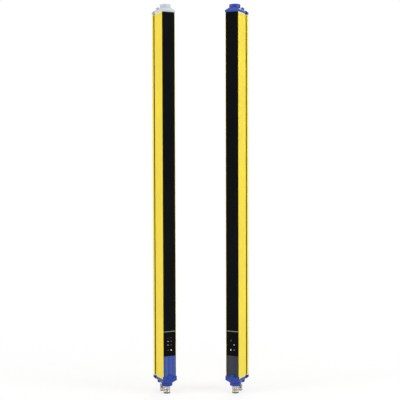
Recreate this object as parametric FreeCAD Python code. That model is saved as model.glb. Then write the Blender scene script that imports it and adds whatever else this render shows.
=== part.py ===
"""Safety light curtain: a receiver bar and a sender bar that stand side by side.

Each bar is an extruded aluminium profile with an infrared window, a display, a name plate, two
moulded end caps and two round connectors, and it holds its optics and its boards inside.

One bar is modelled in its own frame: x across the bar, y from the front face (0) to the rear,
z up from the lower end of the profile. The pair's frame has +Z up, +X from the receiver to the
sender, the fronts towards -Y, and its origin in the middle of the pair's footprint, at the level
of the lowest connector end.
"""
import FreeCAD, Part
import math
import os

# ---- driving dimensions, in mm -----------------------------------------------------------------

# the pair
BAR_SPACING = 210.0          # between the middles of the two bars
TOE_IN_DEG = 25.5            # each bar's turn towards the other one

# profile section
HOUSING_WIDTH = 41.0
HOUSING_DEPTH = 72.0
WALL = 2.5
REAR_CORNER_RADIUS = 3.0
FRONT_CORNER_RADIUS = 1.0
LEDGE_HALF_OPENING = 15.5    # the light passes between the two window ledges
LEDGE_THICKNESS = 2.1
LEDGE_GAP = 0.2              # between the panes and the ledges; the seals bridge it

# front, from the lower end up
END_MARGIN = 0.3             # between the outermost panes and the caps
NAME_PLATE_LENGTH = 62.0
DISPLAY_LENGTH = 69.0
DIVIDER_LENGTH = 2.0
FIELD_LENGTH = 900.0         # the height that the light curtain protects
PANE_GAP = 0.2               # between two panes, end to end
PANE_WIDTH = 38.2
PANE_THICKNESS = 2.5
PANE_SINK = 0.2              # how far the panes lie below the front face
PANE_CLEARANCE = 0.1         # at each side of a pane
SEAL_WIDTH = 2.0
SEAL_HEIGHT = 1.2
SEAL_INSET = 16.9            # from the middle of the bar to the middle of a seal

# T-slots in the two sides
SLOT_CENTRE_FROM_FRONT = 55.5
SLOT_OPENING = 8.2
SLOT_LIP = 2.2
SLOT_CHAMBER_WIDTH = 14.0
SLOT_CHAMBER_DEPTH = 4.8
SLOT_WALL = 2.0

# screws and their channels
SCREW_DIAMETER = 4.0
SCREW_CLEARANCE = 0.05       # radial, in the channels and in the caps
SCREW_HEAD_DIAMETER = 7.0
SCREW_HEAD_HEIGHT = 4.0
SCREW_HEAD_CLEARANCE = 0.2   # radial
SCREW_SOCKET = 3.0           # across the flats
SCREW_SOCKET_DEPTH = 2.2
SCREW_ENGAGEMENT = 12.0      # thread length in the profile
CHANNEL_RADIUS = 3.6
FRONT_SCREW_INSET = 4.8      # from the side face
FRONT_SCREW_FROM_FRONT = 7.2
TOWER_INSET = 6.0            # from the side face
TOWER_TO_SLOT_WALL = 3.5     # from a tower's axis to the wall round the T-slot

# board guides in the front chamber and behind the slots
RAIL_THICKNESS = 1.3
RAIL_DEPTH = 3.0
BOARD_THICKNESS = 1.6
BOARD_CLEARANCE = 0.1
OPTICS_BOARD_FROM_FRONT = 31.5
NECK_RAIL_DEPTH = 1.2
CONTROL_BOARD_FROM_FRONT = 56.3
CONTROL_BOARD_LENGTH = 300.0

# end caps, heights measured outwards from the end of the profile
GASKET_THICKNESS = 3.0
GASKET_INSET = 0.4           # behind the profile's outer faces
GASKET_FRONT_BAND = 6.0      # behind the front of the ledges
CAP_PROUD = 1.0
CAP_PLATE_TOP = 9.0
CAP_CORNER_RADIUS = 4.0
HOOD_TOP = 15.5
HOOD_INSET_SIDE = 5.0
HOOD_INSET_FRONT = 4.0
HOOD_INSET_REAR = 10.0
HOOD_BASE_CHAMFER = 1.2
HOOD_CROWN_CHAMFER = 5.0
BOSS_RADIUS = 16.0
BOSS_FROM_FRONT = 21.0
BOSS_TOP = 26.0
BOSS_CHAMFER = 0.8
BOSS_SHOULDER_RADIUS = 16.6  # the seat of a swivel bracket, level with the hood
BOSS_END_WALL = 4.0
TOWER_RADIUS = 5.0
TOWER_TOP = 18.6
TOWER_ROUND = 1.0
TOWER_HEAD_PROUD = 1.6       # how far a screw's head stands out of its tower
FRONT_SCREW_SEAT = 6.0
CAP_POCKET_TOP = 8.0
CAP_POCKET_FROM_FRONT = 12.0
CAP_POCKET_TO_REAR = 11.0
NOTCH_CLEARANCE = 0.2        # of the nut passages through the caps, round the T-slot

# front apron of the bottom cap
APRON_THICKNESS = 1.4
APRON_CLEARANCE = 0.1
APRON_OVERLAP = 3.7          # up the front of the profile
TONGUE_HALF_WIDTH = 5.8
TONGUE_OVERLAP = 8.0
APRON_NOTCH_OUTER = 13.0
APRON_NOTCH_APEX = 9.6
APRON_NOTCH_DEPTH = 4.6
TONGUE_TAPER = 0.8           # at each side of the tongue's end

# system connector, on the boss's axis under the bottom cap
SEAL_RING_THICKNESS = 0.8
COLLAR_RADIUS = 10.0
COLLAR_LENGTH = 4.0
COUPLING_RADIUS = 9.5
CONNECTOR_LENGTH = 22.0      # below the boss
CONNECTOR_GROOVE_DEPTH = 1.0
CONNECTOR_GROOVE_WIDTH = 1.4
CONNECTOR_RIM_LENGTH = 3.4
CONNECTOR_CHAMFER = 0.6
SOCKET_RADIUS = 7.7
SOCKET_DEPTH = 13.0
INSERT_RADIUS = 6.8
INSERT_FLANGE = 2.0
INSERT_PAST_NUT = 3.0
NECK_RADIUS = 8.0
NECK_CLEARANCE = 0.1
NECK_PAST_NUT = 1.0
NUT_ACROSS_FLATS = 22.0
NUT_HEIGHT = 3.5
NUT_CLEARANCE = 0.5          # between the nut's corners and the bore of the boss
SEAL_RING_INSET = 0.3        # inside the collar's edge
SYSTEM_PIN_COUNT = 8
SYSTEM_PIN_RADIUS = 0.8
SYSTEM_PIN_CIRCLE = 4.9
SYSTEM_PIN_SHORT = 2.0       # how far the pins end inside the rim
KEY_WIDTH = 2.0
KEY_HEIGHT = 1.2
KEY_SET_BACK = 1.0           # inside the rim
KEY_ROOT = 0.5               # how far the key reaches into the wall it stands on

# extension connector, behind the system connector
PEDESTAL_RADIUS = 9.0
PEDESTAL_TOP = 22.0
EXTENSION_FROM_FRONT = 56.0
EXTENSION_RADIUS = 6.0
EXTENSION_FLANGE_RADIUS = 8.0
EXTENSION_FLANGE = 2.0
EXTENSION_NECK_RADIUS = 5.2
EXTENSION_BORE_RADIUS = 4.2
EXTENSION_CONTACT_COUNT = 4
EXTENSION_CONTACT_RADIUS = 0.6
EXTENSION_CONTACT_CIRCLE = 2.3
EXTENSION_CONTACT_SINK = 1.0
EXTENSION_INSERT_SINK = 0.5
FIT_CLEARANCE = 0.05         # radial, of the inserts and the contacts

# boards in the caps
CONNECTOR_BOARD_LEVEL = 4.0
CONNECTOR_BOARD_HALF_WIDTH = 9.8
CONNECTOR_BOARD_GAP = 0.4    # at its front and rear edges
LAMP_BOARD_LEVEL = 12.0
LAMP_BOARD_GAP = 0.3         # radial
LAMP_LEDGE = 1.6             # width of the ledge that the lamp board rests on
LAMP_LED_COUNT = 6
LAMP_LED_CIRCLE = 7.0
LAMP_LED_SIZE = 3.0
LAMP_LED_HEIGHT = 1.6

# optics
MODULE_COUNT = 3
BEAMS_PER_MODULE = 6
MODULE_GAP = 0.4
MODULE_WIDTH = 20.0
MODULE_WALL = 1.5
MODULE_FROM_FRONT = 4.2
CELL_LENGTH = 30.0
LENS_STRIP_THICKNESS = 1.5
LENS_RADIUS = 8.0
LENS_RISE = 2.0
DIODE_SIZE = 3.2
DIODE_HEIGHT = 1.2
DIODE_HOLE = 5.0

# display
INDICATOR_COLUMN = 5.0       # from the middle of the bar
INDICATOR_SIZE = 2.4
INDICATOR_HEIGHT = 0.9
GUIDE_RADIUS = 1.5
GUIDE_PLATE_THICKNESS = 1.6
GUIDE_PLATE_MARGIN = 5.0
GUIDE_GAP = 0.2              # between a guide's ends and what it faces

OVERSHOOT = 1.0              # how far a cut runs past the surface that it opens

# ---- sizes that follow -------------------------------------------------------------------------

HOUSING_LENGTH = (2 * END_MARGIN + NAME_PLATE_LENGTH + DISPLAY_LENGTH + DIVIDER_LENGTH
                  + FIELD_LENGTH + 3 * PANE_GAP)
DISPLAY_BOTTOM = END_MARGIN + NAME_PLATE_LENGTH + PANE_GAP
DIVIDER_BOTTOM = DISPLAY_BOTTOM + DISPLAY_LENGTH + PANE_GAP
WINDOW_BOTTOM = DIVIDER_BOTTOM + DIVIDER_LENGTH + PANE_GAP
DISPLAY_TOP = DISPLAY_BOTTOM + DISPLAY_LENGTH

HALF_WIDTH = HOUSING_WIDTH / 2
INNER_HALF_WIDTH = HALF_WIDTH - WALL
SLOT_DEPTH = SLOT_LIP + SLOT_CHAMBER_DEPTH
NECK_HALF_WIDTH = HALF_WIDTH - SLOT_DEPTH - SLOT_WALL
CAP_POCKET_HALF_WIDTH = NECK_HALF_WIDTH
SLOT_BLOCK_FRONT = SLOT_CENTRE_FROM_FRONT - SLOT_CHAMBER_WIDTH / 2 - SLOT_WALL
SLOT_BLOCK_REAR = SLOT_CENTRE_FROM_FRONT + SLOT_CHAMBER_WIDTH / 2 + SLOT_WALL
PANE_BACK = PANE_SINK + PANE_THICKNESS
LEDGE_FRONT = PANE_BACK + LEDGE_GAP
LEDGE_REAR = LEDGE_FRONT + LEDGE_THICKNESS
SEAL_FLOOR = PANE_BACK + SEAL_HEIGHT

FRONT_SCREW_X = HALF_WIDTH - FRONT_SCREW_INSET
TOWER_X = HALF_WIDTH - TOWER_INSET
TOWER_Y = SLOT_BLOCK_FRONT - TOWER_TO_SLOT_WALL
SCREW_RADIUS = SCREW_DIAMETER / 2
SCREW_BORE_RADIUS = SCREW_RADIUS + SCREW_CLEARANCE
TOWER_SCREW_SEAT = TOWER_TOP + TOWER_HEAD_PROUD - SCREW_HEAD_HEIGHT

OPTICS_BOARD_FRONT = OPTICS_BOARD_FROM_FRONT + BOARD_CLEARANCE
LENS_STRIP_REAR = MODULE_FROM_FRONT + LENS_STRIP_THICKNESS
MODULE_LENGTH = FIELD_LENGTH / MODULE_COUNT
BEAM_PITCH = MODULE_LENGTH / BEAMS_PER_MODULE

CONNECTOR_END = BOSS_TOP + CONNECTOR_LENGTH
COLLAR_BOTTOM = BOSS_TOP + SEAL_RING_THICKNESS
NUT_SEAT = BOSS_TOP - BOSS_END_WALL
NUT_END = NUT_SEAT - NUT_HEIGHT
BOSS_BORE_RADIUS = NUT_ACROSS_FLATS / math.sqrt(3) + NUT_CLEARANCE
EXTENSION_INSERT_END = CONNECTOR_END - EXTENSION_INSERT_SINK
CONNECTOR_BOARD_FACE = CONNECTOR_BOARD_LEVEL + BOARD_THICKNESS
LAMP_BOARD_RADIUS = BOSS_BORE_RADIUS - LAMP_BOARD_GAP


# ---- building blocks ---------------------------------------------------------------------------

def box(x_low, x_high, y_low, y_high, z_low, z_high):
    """A box between two corners."""
    corner = FreeCAD.Vector(x_low, y_low, z_low)
    return Part.makeBox(x_high - x_low, y_high - y_low, z_high - z_low, corner)


def disc(x, y, radius, z_low, z_high):
    """An upright cylinder."""
    return Part.makeCylinder(radius, z_high - z_low, FreeCAD.Vector(x, y, z_low))


def prism(points, z_low, z_high):
    """An upright prism over a closed outline of (x, y) points."""
    corners = [FreeCAD.Vector(x, y, z_low) for x, y in points]
    face = Part.Face(Part.makePolygon(corners + corners[:1]))
    return face.extrude(FreeCAD.Vector(0, 0, z_high - z_low))


def mirrored_prism(half_points, z_low, z_high):
    """An upright prism that is symmetric in x, from the outline of its +x half."""
    other_half = [(-x, y) for x, y in reversed(half_points)]
    return prism(half_points + other_half, z_low, z_high)


def turned(profile, x, y):
    """A body of revolution about the upright axis at (x, y), from (radius, z) points."""
    corners = [FreeCAD.Vector(x + radius, y, z) for radius, z in profile]
    face = Part.Face(Part.makePolygon(corners + corners[:1]))
    return face.revolve(FreeCAD.Vector(x, y, 0), FreeCAD.Vector(0, 0, 1), 360)


def hexagon(x, y, across_flats, z_low, z_high):
    """An upright hexagonal prism."""
    corner_radius = across_flats / math.sqrt(3)
    angles = [math.radians(60 * step) for step in range(6)]
    points = [(x + corner_radius * math.cos(a), y + corner_radius * math.sin(a)) for a in angles]
    return prism(points, z_low, z_high)


def rounded_wire(half_width, y_front, y_rear, front_radius, rear_radius, z):
    """A closed rectangle, symmetric in x, with rounded front and rear corners."""
    corners = [(half_width, y_front, front_radius, 1, -1), (half_width, y_rear, rear_radius, 1, 1),
               (-half_width, y_rear, rear_radius, -1, 1), (-half_width, y_front, front_radius, -1, -1)]
    arcs = []
    for x, y, radius, side_x, side_y in corners:
        centre = (x - side_x * radius, y - side_y * radius)
        on_side = FreeCAD.Vector(x, centre[1], z)
        on_end = FreeCAD.Vector(centre[0], y, z)
        diagonal = radius / math.sqrt(2)
        middle = FreeCAD.Vector(centre[0] + side_x * diagonal, centre[1] + side_y * diagonal, z)
        ends = (on_end, middle, on_side) if side_x * side_y < 0 else (on_side, middle, on_end)
        arcs.append(Part.Arc(*ends).toShape())
    edges = []
    for arc, following in zip(arcs, arcs[1:] + arcs[:1]):
        start = arc.Vertexes[-1].Point
        end = following.Vertexes[0].Point
        edges += [arc, Part.makeLine(start, end)]
    return Part.Wire(edges)


def chamfered_wire(half_width, y_front, y_rear, chamfer, z):
    """A closed rectangle, symmetric in x, with its four corners cut off."""
    half = [(half_width - chamfer, y_front), (half_width, y_front + chamfer),
            (half_width, y_rear - chamfer), (half_width - chamfer, y_rear)]
    outline = half + [(-x, y) for x, y in reversed(half)]
    corners = [FreeCAD.Vector(x, y, z) for x, y in outline]
    return Part.makePolygon(corners + corners[:1])


def rounded_prism(half_width, y_front, y_rear, front_radius, rear_radius, z_low, z_high):
    """An upright prism over a rounded rectangle."""
    wire = rounded_wire(half_width, y_front, y_rear, front_radius, rear_radius, z_low)
    return Part.Face(wire).extrude(FreeCAD.Vector(0, 0, z_high - z_low))


def both_sides(shape):
    """A shape and its mirror image in x."""
    return [shape, shape.mirror(FreeCAD.Vector(0, 0, 0), FreeCAD.Vector(1, 0, 0))]


def joined(first, others):
    """One solid from overlapping shapes, without seams."""
    return first.fuse(others).removeSplitter()


def screw_places():
    """The four screw axes of a cap, as (x, y, level of the head's seat)."""
    places = []
    for side in (-1, 1):
        places.append((side * FRONT_SCREW_X, FRONT_SCREW_FROM_FRONT, FRONT_SCREW_SEAT))
        places.append((side * TOWER_X, TOWER_Y, TOWER_SCREW_SEAT))
    return places


def cavity_outline():
    """The +x half of the profile's inner space, from the ledges to the rear wall."""
    return [(LEDGE_HALF_OPENING, LEDGE_FRONT), (LEDGE_HALF_OPENING, LEDGE_REAR),
            (INNER_HALF_WIDTH, LEDGE_REAR), (INNER_HALF_WIDTH, SLOT_BLOCK_FRONT),
            (NECK_HALF_WIDTH, SLOT_BLOCK_FRONT), (NECK_HALF_WIDTH, SLOT_BLOCK_REAR),
            (INNER_HALF_WIDTH, SLOT_BLOCK_REAR), (INNER_HALF_WIDTH, HOUSING_DEPTH - WALL)]


def slot_passages(z_low, z_high, clearance):
    """The way for a sliding nut into each T-slot: as wide as its chamber and as deep."""
    half = SLOT_CHAMBER_WIDTH / 2 + clearance
    inner = HALF_WIDTH - SLOT_DEPTH - clearance
    y_front = SLOT_CENTRE_FROM_FRONT - half
    y_rear = SLOT_CENTRE_FROM_FRONT + half
    return both_sides(box(inner, HALF_WIDTH + 2 * CAP_PROUD, y_front, y_rear, z_low, z_high))


def pane_recess(length):
    """The recess that the panes and plates lie in."""
    half = PANE_WIDTH / 2 + PANE_CLEARANCE
    return box(-half, half, -OVERSHOOT, LEDGE_FRONT, 0, length)


# ---- profile and front -------------------------------------------------------------------------

def housing_profile():
    """The extrusion: outer section less its recess, slots and inner space, plus its channels."""
    length = HOUSING_LENGTH
    body = rounded_prism(HALF_WIDTH, 0, HOUSING_DEPTH, FRONT_CORNER_RADIUS, REAR_CORNER_RADIUS,
                         0, length)
    body = body.cut(pane_recess(length))
    body = body.cut(mirrored_prism(cavity_outline(), 0, length))

    additions = []
    for x, y, _ in screw_places():
        additions.append(disc(x, y, CHANNEL_RADIUS, 0, length))
    slot_width = BOARD_THICKNESS + 2 * BOARD_CLEARANCE
    for rail_y in (OPTICS_BOARD_FROM_FRONT - RAIL_THICKNESS, OPTICS_BOARD_FROM_FRONT + slot_width):
        rail = box(INNER_HALF_WIDTH - RAIL_DEPTH, INNER_HALF_WIDTH + WALL / 2,
                   rail_y, rail_y + RAIL_THICKNESS, 0, length)
        additions += both_sides(rail)
    control_slot = CONTROL_BOARD_FROM_FRONT - BOARD_CLEARANCE
    for rail_y in (control_slot - RAIL_THICKNESS, control_slot + slot_width):
        rail = box(NECK_HALF_WIDTH - NECK_RAIL_DEPTH, NECK_HALF_WIDTH + SLOT_WALL / 2,
                   rail_y, rail_y + RAIL_THICKNESS, 0, length)
        additions += both_sides(rail)
    body = joined(body, additions)

    groove_half = SEAL_WIDTH / 2 + PANE_CLEARANCE
    groove = box(SEAL_INSET - groove_half, SEAL_INSET + groove_half, 0, SEAL_FLOOR, 0, length)
    slot_y = SLOT_CENTRE_FROM_FRONT
    opening = box(HALF_WIDTH - SLOT_DEPTH, HALF_WIDTH + OVERSHOOT, slot_y - SLOT_OPENING / 2,
                  slot_y + SLOT_OPENING / 2, 0, length)
    chamber = box(HALF_WIDTH - SLOT_DEPTH, HALF_WIDTH - SLOT_LIP, slot_y - SLOT_CHAMBER_WIDTH / 2,
                  slot_y + SLOT_CHAMBER_WIDTH / 2, 0, length)
    bores = [disc(x, y, SCREW_BORE_RADIUS, 0, length) for x, y, _ in screw_places()]
    return body.cut(both_sides(groove) + both_sides(opening) + both_sides(chamber) + bores)


def pane(z_low, length):
    """A flat pane or plate in the front recess."""
    return box(-PANE_WIDTH / 2, PANE_WIDTH / 2, PANE_SINK, PANE_BACK, z_low, z_low + length)


def window_seals():
    """Two strips that lie in their grooves, under all the panes."""
    strip = box(SEAL_INSET - SEAL_WIDTH / 2, SEAL_INSET + SEAL_WIDTH / 2, PANE_BACK, SEAL_FLOOR,
                0, HOUSING_LENGTH)
    return Part.makeCompound(both_sides(strip))


# ---- end caps, built outwards from z = 0 at the end of the profile -------------------------------

def cap_blank():
    """Plate, tapered hood, round boss on its shoulder, and two screw towers."""
    plate = rounded_prism(HALF_WIDTH + CAP_PROUD, -CAP_PROUD, HOUSING_DEPTH + CAP_PROUD,
                          FRONT_CORNER_RADIUS + CAP_PROUD, CAP_CORNER_RADIUS,
                          GASKET_THICKNESS, CAP_PLATE_TOP)
    base = chamfered_wire(HALF_WIDTH + CAP_PROUD, -CAP_PROUD, HOUSING_DEPTH + CAP_PROUD,
                          HOOD_BASE_CHAMFER, CAP_PLATE_TOP)
    crown = chamfered_wire(HALF_WIDTH - HOOD_INSET_SIDE, HOOD_INSET_FRONT,
                           HOUSING_DEPTH - HOOD_INSET_REAR, HOOD_CROWN_CHAMFER, HOOD_TOP)
    hood = Part.makeLoft([base, crown], True, True)
    boss = turned([(0, CAP_PLATE_TOP), (BOSS_SHOULDER_RADIUS, CAP_PLATE_TOP),
                   (BOSS_SHOULDER_RADIUS, HOOD_TOP), (BOSS_RADIUS, HOOD_TOP),
                   (BOSS_RADIUS, BOSS_TOP - BOSS_CHAMFER), (BOSS_RADIUS - BOSS_CHAMFER, BOSS_TOP),
                   (0, BOSS_TOP)], 0, BOSS_FROM_FRONT)
    tower = turned([(0, CAP_PLATE_TOP), (TOWER_RADIUS, CAP_PLATE_TOP),
                    (TOWER_RADIUS, TOWER_TOP - TOWER_ROUND), (TOWER_RADIUS - TOWER_ROUND, TOWER_TOP),
                    (0, TOWER_TOP)], TOWER_X, TOWER_Y)
    return joined(plate, [hood, boss] + both_sides(tower))


def cap_cuts():
    """Nut passages, screw holes with their counterbores, and the pocket for the board."""
    cuts = slot_passages(0, HOOD_TOP + OVERSHOOT, NOTCH_CLEARANCE)
    for x, y, seat in screw_places():
        cuts.append(disc(x, y, SCREW_BORE_RADIUS, 0, seat))
        head_radius = SCREW_HEAD_DIAMETER / 2 + SCREW_HEAD_CLEARANCE
        cuts.append(disc(x, y, head_radius, seat, BOSS_TOP))
    cuts.append(box(-CAP_POCKET_HALF_WIDTH, CAP_POCKET_HALF_WIDTH, CAP_POCKET_FROM_FRONT,
                    HOUSING_DEPTH - CAP_POCKET_TO_REAR, 0, CAP_POCKET_TOP))
    cuts.append(disc(0, BOSS_FROM_FRONT, BOSS_BORE_RADIUS, 0, LAMP_BOARD_LEVEL))
    return cuts


def top_cap():
    """Closed cap; a step in its boss carries the lamp board."""
    ledge_radius = BOSS_BORE_RADIUS - LAMP_LEDGE
    chamber = disc(0, BOSS_FROM_FRONT, ledge_radius, 0, BOSS_TOP - BOSS_END_WALL)
    return cap_blank().cut(cap_cuts() + [chamber])


def bottom_cap():
    """Cap with the connector openings, a pedestal and an apron over the front."""
    pedestal = disc(0, EXTENSION_FROM_FRONT, PEDESTAL_RADIUS, CAP_PLATE_TOP, PEDESTAL_TOP)
    side = HALF_WIDTH + CAP_PROUD
    outline = [(side, CAP_PLATE_TOP), (side, -APRON_OVERLAP), (APRON_NOTCH_OUTER, -APRON_OVERLAP),
               (APRON_NOTCH_APEX, APRON_NOTCH_DEPTH - APRON_OVERLAP),
               (TONGUE_HALF_WIDTH, -APRON_OVERLAP), (TONGUE_HALF_WIDTH - TONGUE_TAPER, -TONGUE_OVERLAP)]
    apron = mirrored_prism(outline, 0, APRON_THICKNESS)
    # the outline stands in the x-z plane, so the flat prism is turned up about the x axis
    apron.rotate(FreeCAD.Vector(0, 0, 0), FreeCAD.Vector(1, 0, 0), 90)
    apron.translate(FreeCAD.Vector(0, -APRON_CLEARANCE, 0))
    body = joined(cap_blank(), [pedestal, apron])
    bore = disc(0, BOSS_FROM_FRONT, BOSS_BORE_RADIUS, 0, NUT_SEAT)
    neck = disc(0, BOSS_FROM_FRONT, NECK_RADIUS + NECK_CLEARANCE, 0, BOSS_TOP)
    extension = disc(0, EXTENSION_FROM_FRONT, EXTENSION_NECK_RADIUS + NECK_CLEARANCE,
                     0, PEDESTAL_TOP)
    return body.cut(cap_cuts() + [bore, neck, extension])


def gasket():
    """Flat gasket with the profile's section: open at the panes, the slots, the bores and inside."""
    ring = rounded_prism(HALF_WIDTH - GASKET_INSET, GASKET_INSET, HOUSING_DEPTH - GASKET_INSET,
                         FRONT_CORNER_RADIUS, REAR_CORNER_RADIUS, 0, GASKET_THICKNESS)
    half = [(CAP_POCKET_HALF_WIDTH, LEDGE_FRONT + GASKET_FRONT_BAND),
            (CAP_POCKET_HALF_WIDTH, HOUSING_DEPTH - CAP_POCKET_TO_REAR)]
    cuts = [mirrored_prism(half, 0, GASKET_THICKNESS), pane_recess(GASKET_THICKNESS)]
    cuts += slot_passages(0, GASKET_THICKNESS, NOTCH_CLEARANCE)
    for x, y, _ in screw_places():
        cuts.append(disc(x, y, SCREW_BORE_RADIUS + SCREW_CLEARANCE, 0, GASKET_THICKNESS))
    return ring.cut(cuts)


def cap_screws():
    """Four socket screws that reach through the cap into the profile."""
    screws = []
    for x, y, seat in screw_places():
        head = disc(x, y, SCREW_HEAD_DIAMETER / 2, seat, seat + SCREW_HEAD_HEIGHT)
        shank = disc(x, y, SCREW_RADIUS, -SCREW_ENGAGEMENT, seat)
        top = seat + SCREW_HEAD_HEIGHT
        socket = hexagon(x, y, SCREW_SOCKET, top - SCREW_SOCKET_DEPTH, top)
        screws.append(head.fuse(shank).cut(socket))
    return Part.makeCompound(screws)


# ---- connectors and boards in the caps, built outwards like the caps -----------------------------

def ring_places(count, circle_radius, centre_y):
    """Evenly spaced places on a circle about (0, centre_y)."""
    angles = [2 * math.pi * (step + 0.5) / count for step in range(count)]
    return [(circle_radius * math.cos(a), centre_y + circle_radius * math.sin(a)) for a in angles]


def system_connector_shell():
    """Collar, coupling thread, groove and rim outside; threaded neck inside the boss."""
    groove_top = CONNECTOR_END - CONNECTOR_RIM_LENGTH
    groove_bottom = groove_top - CONNECTOR_GROOVE_WIDTH
    groove_radius = COUPLING_RADIUS - CONNECTOR_GROOVE_DEPTH
    neck_start = NUT_END - NECK_PAST_NUT
    socket_floor = CONNECTOR_END - SOCKET_DEPTH
    profile = [(INSERT_RADIUS, neck_start), (NECK_RADIUS, neck_start), (NECK_RADIUS, COLLAR_BOTTOM),
               (COLLAR_RADIUS, COLLAR_BOTTOM), (COLLAR_RADIUS, COLLAR_BOTTOM + COLLAR_LENGTH),
               (COUPLING_RADIUS, COLLAR_BOTTOM + COLLAR_LENGTH), (COUPLING_RADIUS, groove_bottom),
               (groove_radius, groove_bottom), (groove_radius, groove_top),
               (COUPLING_RADIUS, groove_top), (COUPLING_RADIUS, CONNECTOR_END - CONNECTOR_CHAMFER),
               (COUPLING_RADIUS - CONNECTOR_CHAMFER, CONNECTOR_END), (SOCKET_RADIUS, CONNECTOR_END),
               (SOCKET_RADIUS, socket_floor - INSERT_FLANGE),
               (INSERT_RADIUS, socket_floor - INSERT_FLANGE)]
    shell = turned(profile, 0, BOSS_FROM_FRONT)
    key = box(-KEY_WIDTH / 2, KEY_WIDTH / 2, BOSS_FROM_FRONT + SOCKET_RADIUS - KEY_HEIGHT,
              BOSS_FROM_FRONT + SOCKET_RADIUS + KEY_ROOT, socket_floor,
              CONNECTOR_END - KEY_SET_BACK)
    return joined(shell, [key])


def system_connector_insert():
    """Moulded pin carrier: a stem in the shell and a flange on the shell's inner step."""
    socket_floor = CONNECTOR_END - SOCKET_DEPTH
    stem = INSERT_RADIUS - FIT_CLEARANCE
    flange = SOCKET_RADIUS - FIT_CLEARANCE
    profile = [(0, NUT_END - INSERT_PAST_NUT), (stem, NUT_END - INSERT_PAST_NUT),
               (stem, socket_floor - INSERT_FLANGE), (flange, socket_floor - INSERT_FLANGE),
               (flange, socket_floor), (0, socket_floor)]
    body = turned(profile, 0, BOSS_FROM_FRONT)
    holes = [disc(x, y, SYSTEM_PIN_RADIUS + FIT_CLEARANCE, 0, CONNECTOR_END)
             for x, y in ring_places(SYSTEM_PIN_COUNT, SYSTEM_PIN_CIRCLE, BOSS_FROM_FRONT)]
    return body.cut(holes)


def system_connector_pins():
    """Pins from the connector board into the socket."""
    top = CONNECTOR_END - SYSTEM_PIN_SHORT
    pins = [disc(x, y, SYSTEM_PIN_RADIUS, CONNECTOR_BOARD_FACE, top)
            for x, y in ring_places(SYSTEM_PIN_COUNT, SYSTEM_PIN_CIRCLE, BOSS_FROM_FRONT)]
    return Part.makeCompound(pins)


def system_connector_nut():
    """Hexagon nut that holds the shell from inside the boss."""
    nut = hexagon(0, BOSS_FROM_FRONT, NUT_ACROSS_FLATS, NUT_END, NUT_SEAT)
    return nut.cut(disc(0, BOSS_FROM_FRONT, NECK_RADIUS + FIT_CLEARANCE, 0, NUT_SEAT))


def system_connector_seal():
    """Flat ring between the boss and the collar."""
    outer = COLLAR_RADIUS - SEAL_RING_INSET
    return turned([(NECK_RADIUS + NECK_CLEARANCE, BOSS_TOP), (outer, BOSS_TOP),
                   (outer, COLLAR_BOTTOM), (NECK_RADIUS + NECK_CLEARANCE, COLLAR_BOTTOM)],
                  0, BOSS_FROM_FRONT)


def extension_connector_shell():
    """Threaded stub with a flange on the pedestal and a neck in it."""
    neck_start = CAP_POCKET_TOP
    flange_top = PEDESTAL_TOP + EXTENSION_FLANGE
    profile = [(EXTENSION_BORE_RADIUS, neck_start), (EXTENSION_NECK_RADIUS, neck_start),
               (EXTENSION_NECK_RADIUS, PEDESTAL_TOP), (EXTENSION_FLANGE_RADIUS, PEDESTAL_TOP),
               (EXTENSION_FLANGE_RADIUS, flange_top), (EXTENSION_RADIUS, flange_top),
               (EXTENSION_RADIUS, CONNECTOR_END - CONNECTOR_CHAMFER),
               (EXTENSION_RADIUS - CONNECTOR_CHAMFER, CONNECTOR_END),
               (EXTENSION_BORE_RADIUS, CONNECTOR_END)]
    return turned(profile, 0, EXTENSION_FROM_FRONT)


def extension_connector_insert():
    """Socket carrier that fills the stub, flush just inside its rim."""
    body = disc(0, EXTENSION_FROM_FRONT, EXTENSION_BORE_RADIUS - FIT_CLEARANCE,
                CAP_POCKET_TOP, EXTENSION_INSERT_END)
    places = ring_places(EXTENSION_CONTACT_COUNT, EXTENSION_CONTACT_CIRCLE, EXTENSION_FROM_FRONT)
    holes = [disc(x, y, EXTENSION_CONTACT_RADIUS + FIT_CLEARANCE, 0, CONNECTOR_END)
             for x, y in places]
    return body.cut(holes)


def extension_connector_contacts():
    """Contacts from the connector board to just below the insert's face."""
    top = EXTENSION_INSERT_END - EXTENSION_CONTACT_SINK
    places = ring_places(EXTENSION_CONTACT_COUNT, EXTENSION_CONTACT_CIRCLE, EXTENSION_FROM_FRONT)
    return Part.makeCompound([disc(x, y, EXTENSION_CONTACT_RADIUS, CONNECTOR_BOARD_FACE, top)
                              for x, y in places])


def connector_board():
    """Board in the pocket of the bottom cap; both connectors are soldered to it."""
    return box(-CONNECTOR_BOARD_HALF_WIDTH, CONNECTOR_BOARD_HALF_WIDTH,
               CAP_POCKET_FROM_FRONT + CONNECTOR_BOARD_GAP,
               HOUSING_DEPTH - CAP_POCKET_TO_REAR - CONNECTOR_BOARD_GAP,
               CONNECTOR_BOARD_LEVEL, CONNECTOR_BOARD_FACE)


def lamp_board():
    """Round board against the step inside the receiver's top cap."""
    return disc(0, BOSS_FROM_FRONT, LAMP_BOARD_RADIUS, LAMP_BOARD_LEVEL - BOARD_THICKNESS,
                LAMP_BOARD_LEVEL)


def lamp_leds():
    """Status lamp LEDs on the lamp board."""
    half = LAMP_LED_SIZE / 2
    return Part.makeCompound([box(x - half, x + half, y - half, y + half, LAMP_BOARD_LEVEL,
                                  LAMP_BOARD_LEVEL + LAMP_LED_HEIGHT)
                              for x, y in ring_places(LAMP_LED_COUNT, LAMP_LED_CIRCLE,
                                                      BOSS_FROM_FRONT)])


# ---- optics and boards in the profile ------------------------------------------------------------

def beam_levels(module):
    """The beams' heights in one module."""
    start = WINDOW_BOTTOM + module * MODULE_LENGTH
    return [start + BEAM_PITCH * (beam + 0.5) for beam in range(BEAMS_PER_MODULE)]


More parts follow.
